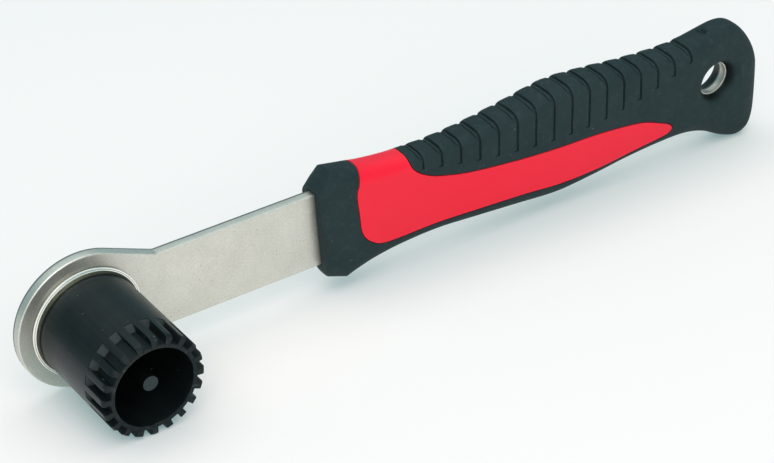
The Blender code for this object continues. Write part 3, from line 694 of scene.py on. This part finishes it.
def handle_rows(stations):
    """The form's row at each station: cubic curves through the rows, straight over the chamfers.

    Each span is a Hermite cubic whose end slopes are the slopes between the rows on either side.
    """
    rows, keys, first = HANDLE_ROWS, HANDLE_ROWS[:, 0], CHAMFER_ROWS
    slopes = np.empty_like(rows)
    slopes[1:-1] = (rows[2:] - rows[:-2]) / (keys[2:] - keys[:-2])[:, None]
    slopes[-1] = (rows[-1] - rows[-2]) / (keys[-1] - keys[-2])
    slopes[first] = (rows[first + 1] - rows[first]) / (keys[first + 1] - keys[first])
    slopes[0] = slopes[1]
    span = np.clip(np.searchsorted(keys, stations, side="right") - 1, 0, len(keys) - 2)
    width = (keys[span + 1] - keys[span])[..., None]
    t = (stations - keys[span])[..., None] / width
    here, there = rows[span], rows[span + 1]
    curve = ((2 * t**3 - 3 * t**2 + 1) * here + (t**3 - 2 * t**2 + t) * width * slopes[span]
             + (3 * t**2 - 2 * t**3) * there + (t**3 - t**2) * width * slopes[span + 1])
    straight = here + (there - here) * t
    return np.where((span < first)[..., None], straight, curve)


def section_plan(face_steps, edge_steps):
    """The way round a section, as arrays of side, share and angle.

    side is -1 in front and 1 behind, share is the height on the flat face from -1 to 1, and angle is
    the turn of the round edge: 0 on the face, a quarter turn at the top, minus that at the bottom.
    """
    face = np.linspace(-1, 1, face_steps + 1)
    turn = np.linspace(0, math.pi / 2, edge_steps + 1)[1:]
    over = np.concatenate([turn, turn[-2::-1]])
    behind = np.where(np.arange(len(over)) < edge_steps, -1.0, 1.0)
    side = np.concatenate([-1 + 0 * face, behind, 1 + 0 * face, -behind])
    share = np.concatenate([face, 1 + 0 * over, face[::-1], -1 + 0 * over])
    return side, share, np.concatenate([0 * face, over, 0 * face, -over])


def eased(values, keys, shares):
    """Shares between keys, with a soft start and end: three times the square less twice the cube."""
    share = np.interp(values, keys, shares)
    return share * share * (3 - 2 * share)


def squareness(places, angle):
    """How square the section is: 0 at the ends and below, 1 on the upper edge over the lands."""
    return eased(places, SQUARE_STATIONS, (0, 1, 1, 0)) * (angle > 0)


def crown(high, length):
    """How far the face swells: most at the middle, falling with the square of the height."""
    return FACE_CROWN * (1 - np.minimum(1, 2 * np.abs(high) / length) ** 2)


def handle_surface(stations, face_steps, edge_steps, steps=None):
    """Rings of the handle: at each station a section with flat sides and round edges.

    A point is the section's middle, plus its height along the line from bottom to top, plus its depth
    across. The edge is a circle's quarter, or a superellipse's where it is square: sine and cosine
    to a power below one. steps, where given, slides the stations, settles the heights and sinks the
    surface along its normal.
    """
    side, share, angle = section_plan(face_steps, edge_steps)
    stations = stations[:, None]
    places = stations + 0 * angle
    if steps:
        places = steps.slide(places, angle)
    row = handle_rows(places)
    top, low, thick = row[..., 1:3], row[..., 3:5], row[..., 5]
    middle = (top + low) / 2
    length = np.linalg.norm(top - low, axis=-1)
    up = (top - low) / length[..., None]
    edge = thick * EDGE_ROUND_SHARE
    straight = length / 2 - edge
    square = squareness(places, angle)
    power = 1 - (1 - SQUARE_POWER) * square
    rise = np.sign(angle) * np.abs(np.sin(angle)) ** power
    high = straight * share + (edge - SQUARE_DROP * square) * rise
    if steps:
        high = steps.settle(stations, middle[..., 1], high, angle, 2 * straight / face_steps)
    wide = (thick - edge + edge * np.abs(np.cos(angle)) ** power) * side
    wide = wide + side * crown(high, length)
    if steps:
        sunk = steps.sink(stations, places, middle[..., 1] + high, angle)
        wide = wide - sunk * side * np.cos(angle)
        high = high - sunk * np.sin(angle)
    x = middle[..., 0] + up[..., 0] * high
    z = middle[..., 1] + up[..., 1] * high
    return np.stack([x, HANDLE_MID_Y + wide, z], axis=-1)


def smooth_run(points, steps):
    """A Catmull-Rom curve through an open run of (x, z) points."""
    pts = np.concatenate([[2 * points[0] - points[1]], points, [2 * points[-1] - points[-2]]])
    t = (np.arange(steps) / steps)[None, :, None]
    a, b, c, d = (pts[i:len(pts) - 3 + i, None, :] for i in range(4))
    curve = 0.5 * (2 * b + (c - a) * t + (2 * a - 5 * b + 4 * c - d) * t**2
                   + (3 * b - a - 3 * c + d) * t**3)
    return np.concatenate([curve.reshape(-1, 2), pts[-2:-1]])


def window_cutter(grow, tops=(WINDOW_REACH, WINDOW_REACH), middle=0.0, reach=WINDOW_REACH):
    """The window as a solid across the handle, its edge moved outwards by grow.

    tops are the heights of its two ends over the back; it reaches as far to each side of the middle.
    """
    run = smooth_run(WINDOW_EDGE, 10)
    run = run[run[:, 1] < tops[1]]
    run = np.concatenate([[(run[0, 0], tops[0])], run, [(run[-1, 0], tops[1])]])
    return slab("window_cutter", grown(run, grow), middle - reach, middle + reach)


def tang_cutter():
    """The slot for the steel, one clearance larger than the blank all round."""
    return slab("tang_cutter", grown(blank_outline(), CLEARANCE), -CLEARANCE, PLATE_THICKNESS + CLEARANCE)


core_stations = np.linspace(HANDLE_ROWS[1, 0], HANDLE_ROWS[-2, 0], 300)
core = ringed_piece("core", handle_surface(core_stations, face_steps=48, edge_steps=12))
combine(core, window_cutter(-CLEARANCE / 2), "INTERSECT")
# A rib in the middle of the thickness fills the seam between core and rubber, so no light comes through.
core_rib = window_cutter(CLEARANCE / 2 - RIB_GAP, RIB_TOPS, HANDLE_MID_Y, RIB_HALF_THICKNESS)
combine(core, core_rib, "UNION")
combine(core, tang_cutter())
finish_edges(core)


def red_plastic():
    """Hard red plastic, semi-gloss, with a soft mould texture and a few faint scuffs."""
    plastic = Finish("red_plastic")
    cloud = plastic.noise(60, 3)
    texture = plastic.noise(1800, 2)
    scuffs = plastic.mask(plastic.streaks((90, 900, 900), 4.0, 0.7), 0.66, 0.80)
    tint = plastic.blend(cloud, (0.85, 0.0070, 0.030), (0.89, 0.0095, 0.036))
    tint = plastic.blend(scuffs * 0.15, tint, (0.90, 0.10, 0.15))
    return plastic.wear(base_color=tint, roughness=0.34 + cloud * 0.08 + scuffs * 0.1,
                        specular_ior_level=0.30, normal=plastic.bump(texture, 0.000012))


dress(core, red_plastic(), "red_plastic", "handle_core")
# The photograph shows no red cast on what is beside the core.
core.visible_diffuse = False


# Rubber grip
# A soft charcoal skin moulded over the core: a chamfered collar, lands that overlap like shingles over
# the back, a strip under the red, and a swelling butt with the dished rim of the hanging hole.
STEP_COUNT, STEP_FIRST_X, STEP_PITCH = 16, 0.1127, 0.00685
STEP_WALL, CHANNEL_SPAN = 0.00010, 0.0015
CHANNEL_FACE_WIDTH, CHANNEL_TOP_WIDTH = 0.00076, 0.00185
CHANNEL_FACE_DEPTH, CHANNEL_TOP_DEPTH = 0.00060, 0.00022
CHANNEL_WIDENS = (0.35, 0.85)
LIP_DEPTH, LIP_WIDTH = 0.00050, 0.25
FOOT_DEPTH, FOOT_WIDTH = 0.00050, 0.30
BEND_WIDTH = 0.06
LAND_DIP, LAND_LEVEL, LAND_ON_FACE = 0.00020, 0.25, 0.4
LAND_START, LAND_START_RUN = 0.00022, 0.0011
LAND_END, LAND_END_FROM = 0.00016, 0.88
LEG_LOW_X, LEG_LOW_Z = 0.1690, 0.0045
LEG_RISE_FRONT, LEG_RISE_BACK = 2.05, 4.10
LEG_REACH, LEG_END_WALL = 0.35, 0.00008
LAND_FADE = 0.0030
GATE_X, GATE_LENGTH, GATE_WIDTH, GATE_DEPTH = 0.2238, 0.0011, 0.0008, 0.0017
CREST_RADIUS = 0.0048
# The dished rim of the hanging hole as (radius, y) in millimetres, from the front to the back.
RIM_PROFILE = np.array([
    (9.5, -8.0), (9.5, -4.1), (8.2, -3.6), (7.2, -3.0), (6.6, -2.2), (6.1, -1.0), (5.7, -0.2),
    (5.7, 3.7), (6.1, 5.0), (6.5, 6.3), (7.1, 7.1), (8.0, 7.6), (8.0, 11.4),
]) / 1000


class Steps:
    """The steps over the grip's back.

    Seen from the foot of a step: its wall rises to the left end of a land, which starts round, is
    level, and dips to the right; then a channel, narrow and deep on the faces and wide over the top,
    where a groove runs at its lip and another at the foot of the next wall. The legs end at a height
    that follows two parabolas, where all of it stops in a small wall.
    """

    def split(self, stations):
        """Which land a station is on, and how far it is from that land's foot."""
        place = (stations - STEP_FIRST_X) / STEP_PITCH
        index = np.floor(place)
        return index, (place - index) * STEP_PITCH

    def over_top(self, angle):
        """0 on the faces, 1 over the top."""
        return eased(np.sin(angle), CHANNEL_WIDENS, (0, 1))

    def channel_width(self, angle):
        """Narrow on the faces, wide over the top."""
        return CHANNEL_FACE_WIDTH + (CHANNEL_TOP_WIDTH - CHANNEL_FACE_WIDTH) * self.over_top(angle)

    def slide(self, stations, angle):
        """Moves the channel's left edge with its width, and stretches the land to follow."""
        index, away = self.split(stations)
        width = self.channel_width(angle)
        land = STEP_PITCH - CHANNEL_SPAN
        moved = np.where(away < land, away * (STEP_PITCH - width) / land,
                         STEP_PITCH - (STEP_PITCH - away) * width / CHANNEL_SPAN)
        return np.where((index >= -1) & (index < STEP_COUNT - 1), stations + moved - away, stations)

    def leg_end(self, stations):
        """The height where the leg of the step ends, found from a little to the left of its foot."""
        step = np.round((stations - STEP_FIRST_X) / STEP_PITCH + LEG_REACH)
        away = STEP_FIRST_X + step * STEP_PITCH - LEG_LOW_X
        return LEG_LOW_Z + np.where(away < 0, LEG_RISE_FRONT, LEG_RISE_BACK) * away**2

    def settle(self, stations, middle, high, angle, spacing):
        """Moves the two rows of points that straddle a leg's end close to it, on the flat faces."""
        above = middle + high - self.leg_end(stations)
        moved = np.where((above >= 0) & (above < spacing), LEG_END_WALL, above)
        moved = np.where((above < 0) & (above > -spacing), 0.0, moved)
        near = (angle == 0) & (stations > STEP_FIRST_X - STEP_PITCH)
        near = near & (stations < STEP_FIRST_X + (STEP_COUNT - 0.5) * STEP_PITCH)
        return np.where(near, high + moved - above, high)

    def sink(self, stations, places, z, angle):
        """The depth under the full form: land, channel, wall at the foot, and the moulding gate's pit."""
        index, raw = self.split(stations)
        _, away = self.split(places)
        inside = 1 - (STEP_PITCH - raw) / CHANNEL_SPAN
        on_step = (index >= 0) & (index < STEP_COUNT)
        before_foot = (index >= -1) & (index < STEP_COUNT - 1)
        land_here = (index >= 0) & (index < STEP_COUNT - 1)
        share = np.clip(away / (STEP_PITCH - self.channel_width(angle)), 0, 1)
        dip = LAND_DIP * np.clip((share - LAND_LEVEL) / (1 - LAND_LEVEL), 0, 1) ** 2
        dip = dip + LAND_END * np.clip((share - LAND_END_FROM) / (1 - LAND_END_FROM), 0, 1) ** 2
        start = LAND_START * np.clip(1 - away / LAND_START_RUN, 0, 1) ** 2
        over = np.clip(LAND_ON_FACE + np.sin(angle), LAND_ON_FACE, 1)
        land = (dip * land_here + start * on_step) * over
        top = self.over_top(angle)
        floor = CHANNEL_FACE_DEPTH + (CHANNEL_TOP_DEPTH - CHANNEL_FACE_DEPTH) * top
        lip = np.clip((LIP_WIDTH - inside) / BEND_WIDTH, 0, 1) * LIP_DEPTH * top
        foot = np.clip((inside - 1 + FOOT_WIDTH) / BEND_WIDTH, 0, 1) * FOOT_DEPTH * top
        channel = np.clip(inside / BEND_WIDTH, 0, 1) * (floor + lip) + foot
        wall = (floor + FOOT_DEPTH * top + LAND_DIP * over) * np.clip(1 - raw / STEP_WALL, 0, 1) * on_step
        above = z - self.leg_end(stations)
        fade = np.clip(above / LEG_END_WALL, 0, 1)
        land = land * np.clip(above / LAND_FADE, 0, 1)
        sunk = np.maximum(wall, channel * before_foot) * fade + land
        aside = CREST_RADIUS * np.cos(angle) + (angle <= 0)
        gate = np.exp(-(((places - GATE_X) / GATE_LENGTH) ** 2 + (aside / GATE_WIDTH) ** 2) ** 2)
        return sunk + GATE_DEPTH * gate


# Stations of one step from its foot: along the land, and as shares of the channel before the foot.
LAND_STATIONS = (0.00001, 0.5 * STEP_WALL, STEP_WALL, 1.3 * STEP_WALL, 0.0003, 0.0006, 0.0010, 0.0016,
                 0.0024, 0.0034, 0.0044)
CHANNEL_STATIONS = (-0.3, -0.12, 0.0, 0.06, 0.11, 0.19, 0.25, 0.31, 0.40, 0.50, 0.61, 0.70, 0.76, 0.84,
                    0.93, 0.993)
# Stations round a crease of the form, and how far apart they are on the collar, gate and butt.
CREASE_STATIONS = np.array([-0.0004, -0.00015, 0.0, 0.00015, 0.0004])
COLLAR_SPACING, GATE_SPACING, BUTT_SPACING = 0.0007, 0.0002, 0.0006
GATE_SPAN = 0.0016


def step_stations():
    """Stations along the handle: close together round each step, wider apart elsewhere."""
    one = np.concatenate([LAND_STATIONS, CHANNEL_SPAN * np.array(CHANNEL_STATIONS) - CHANNEL_SPAN])
    feet = STEP_FIRST_X + np.arange(STEP_COUNT) * STEP_PITCH
    steps = (feet[:, None] + one[None, :]).ravel()
    keys = HANDLE_ROWS[:, 0]
    ends = [keys[0] + CREASE_STATIONS[2:], keys[1] + CREASE_STATIONS, keys[2] + CREASE_STATIONS,
            np.arange(keys[2] + 0.001, steps.min() - 0.0003, COLLAR_SPACING),
            np.arange(GATE_X - GATE_SPAN, GATE_X + GATE_SPAN, GATE_SPACING),
            np.arange(steps.max() + 0.0005, keys[-1], BUTT_SPACING), keys[-1:]]
    return np.unique(np.concatenate([steps, *ends]).round(7))


HOOK_LENGTH, HOOK_HALF_WIDTH, HOOK_DEPTH, HOOK_REACH = 0.0010, 0.00022, 0.00060, 0.0015
HOOK_SIDES = 16


def hook_bars():
    """The short groove that each leg ends in, to its left on both faces, as bars to cut with.

    A bar is a stadium outline in (x, z) that goes across the face; the face's y at the bar's middle is
    the half thickness plus the crown.
    """
    feet = STEP_FIRST_X + np.arange(1, STEP_COUNT) * STEP_PITCH
    low = Steps().leg_end(feet) + HOOK_HALF_WIDTH
    row = handle_rows(feet)
    length = np.linalg.norm(row[:, 1:3] - row[:, 3:5], axis=1)
    high = low - (row[:, 2] + row[:, 4]) / 2
    out = row[:, 5] + crown(high, length)
    turn = np.linspace(0, math.tau, HOOK_SIDES, endpoint=False)
    end = HOOK_LENGTH / 2 * (np.sign(np.cos(turn) - 1e-6) - 1) - HOOK_HALF_WIDTH
    x = feet[:, None] + HOOK_HALF_WIDTH * np.cos(turn) + end
    z = low[:, None] + HOOK_HALF_WIDTH * np.sin(turn)
    bars = [np.stack([x, HANDLE_MID_Y + reach[:, None] + 0 * x, z], axis=-1)
            for reach in (-out - HOOK_REACH, HOOK_DEPTH - out, out - HOOK_DEPTH, out + HOOK_REACH)]
    bars = np.stack(bars).reshape(2, 2, len(feet), HOOK_SIDES, 3).swapaxes(1, 2).reshape(-1, 3)
    first = np.arange(0, len(bars), 2 * HOOK_SIDES)
    quads = (first[:, None, None] + ring_quads(2, HOOK_SIDES, False)).reshape(-1, 4)
    ring = np.arange(HOOK_SIDES)
    caps = [cap for start in first for cap in (start + ring[::-1], start + HOOK_SIDES + ring)]
    return add_piece("hook_bars", bars, quads, caps)


grip = ringed_piece("grip", handle_surface(step_stations(), 42, 18, Steps()))
combine(grip, hook_bars())
combine(grip, window_cutter(CLEARANCE / 2))
combine(grip, tang_cutter())
combine(grip, ringed_piece("rim_cutter", lathe_rings(RIM_PROFILE, 96, (HOLE_X, HOLE_Z))))
finish_edges(grip, math.radians(30))


def black_rubber():
    """Matt charcoal rubber: fine leathery grain, dusty bloom in patches, and a smoother hole rim whose
    dish is darkened with painted shade.
    """
    rubber = Finish("black_rubber")
    cloud = rubber.noise(70, 4, 0.6)
    grain = rubber.noise(2200, 3, 0.6)
    dust = rubber.mask(rubber.noise(420, 4, 0.7), 0.52, 0.75)
    motes = rubber.mask(rubber.noise(900, 1), 0.74, 0.80)
    # Painted shade: the dished rim round the hanging hole is darkened; it is also made smoother.
    rim = rubber.ramp((rubber.off_axis(HOLE_X, HOLE_Z) - 0.0050) * 250.0, (0.30, 1), (0.62, 0))
    tint = rubber.blend(rubber.mask(cloud, 0.3, 0.75), (0.0105, 0.0200, 0.0212), (0.0175, 0.0295, 0.0308))
    tint = rubber.coat(tint, (dust * 0.25, (0.060, 0.072, 0.074)), (motes * 0.5, (0.10, 0.11, 0.11)),
                       (rim, (0.0020, 0.0028, 0.0028)))
    return rubber.wear(base_color=tint, roughness=0.62 + cloud * 0.1 - rim * 0.2, specular_ior_level=0.28,
                       specular_tint=(0.66, 0.95, 1.0), normal=rubber.bump(grain, 0.00005))


dress(grip, black_rubber(), "black_rubber", "rubber_grip")


# Table
# A pale seamless sheet of paper, far larger than the view. What the camera, mirrors and glass see of it
# is paler and cooler than what lights the tool, by its colour and a faint glow.
TABLE_SIZE = 6.0

bpy.ops.mesh.primitive_plane_add(size=TABLE_SIZE)
table = bpy.context.object
table.name = "table"
sheet = Finish("pale_sheet", roughness=0.9, specular_ior_level=0.1, emission_strength=1.0)
paper = sheet.noise(8, 2)
seen = sum(sheet.node("ShaderNodeLightPath", output=f"Is {ray} Ray")
           for ray in ("Camera", "Glossy", "Transmission"))
lit = sheet.blend(paper, (0.875, 0.835, 0.815), (0.885, 0.842, 0.820))
shown = sheet.blend(paper, (0.836, 0.677, 0.657), (0.844, 0.683, 0.663))
table.data.materials.append(sheet.wear(
    base_color=sheet.blend(seen, lit, shown),
    emission_color=sheet.blend(seen, (0.0, 0.0, 0.0), (0.122, 0.234, 0.240))))


# Light
# A wide soft box overhead and a stronger one farther off in front on the left, in a dim cool room.
# Both are a little warm and face the tool.
ROOM_COLOUR, ROOM_STRENGTH = (0.60, 0.93, 1.0, 1), 0.48


def lamp(name, place, size, power, colour):
    """A square area lamp whose back points away from the origin."""
    data = bpy.data.lights.new(name, "AREA")
    data.shape, data.size = "SQUARE", size
    data.energy, data.color = power, colour
    back = np.array(place) / np.linalg.norm(place)
    side = np.array((back[2], 0, -back[0])) / math.hypot(back[2], back[0])
    turn = np.column_stack([side, np.cross(back, side), back])
    put(name, data).matrix_world = Matrix.Translation(place) @ Matrix(turn.tolist()).to_4x4()


lamp("overhead", (-0.05, 0.0, 1.50), 2.4, 17.5, (1.0, 0.91, 0.88))
lamp("front", (-0.70, -1.70, 1.10), 2.0, 30.0, (1.0, 0.93, 0.91))
world = bpy.data.worlds.new("room")
world.use_nodes = True
room = world.node_tree.nodes["Background"].inputs
room["Color"].default_value, room["Strength"].default_value = ROOM_COLOUR, ROOM_STRENGTH
bpy.context.scene.world = world
bpy.context.scene.view_settings.view_transform = "Standard"


# Camera
# Where the photograph was taken from, in the tool's own axes: place, right-hand and forward ways.
CAMERA_PLACE = (-0.26298, -0.53511, 0.42388)
CAMERA_RIGHT = (0.823905, -0.566692, -0.006416)
CAMERA_FORWARD = (0.468168, 0.686956, -0.555798)
FOCAL_PIXELS = 2600.2
IMAGE_WIDTH = 774
SENSOR_WIDTH = 36.0

camera_data = bpy.data.cameras.new("camera")
camera_data.sensor_width = SENSOR_WIDTH
camera_data.lens = FOCAL_PIXELS * SENSOR_WIDTH / IMAGE_WIDTH
camera_data.clip_start = 0.01
camera_data.clip_end = 50.0
camera = put("camera", camera_data)
right, forward = TOOL_AXES @ np.array(CAMERA_RIGHT), TOOL_AXES @ np.array(CAMERA_FORWARD)
camera_turn = np.column_stack([right, np.cross(right, forward), -forward])
camera.matrix_world = (Matrix.Translation(lay([CAMERA_PLACE])[0])
                       @ Matrix(camera_turn.tolist()).to_4x4())
bpy.context.scene.camera = camera
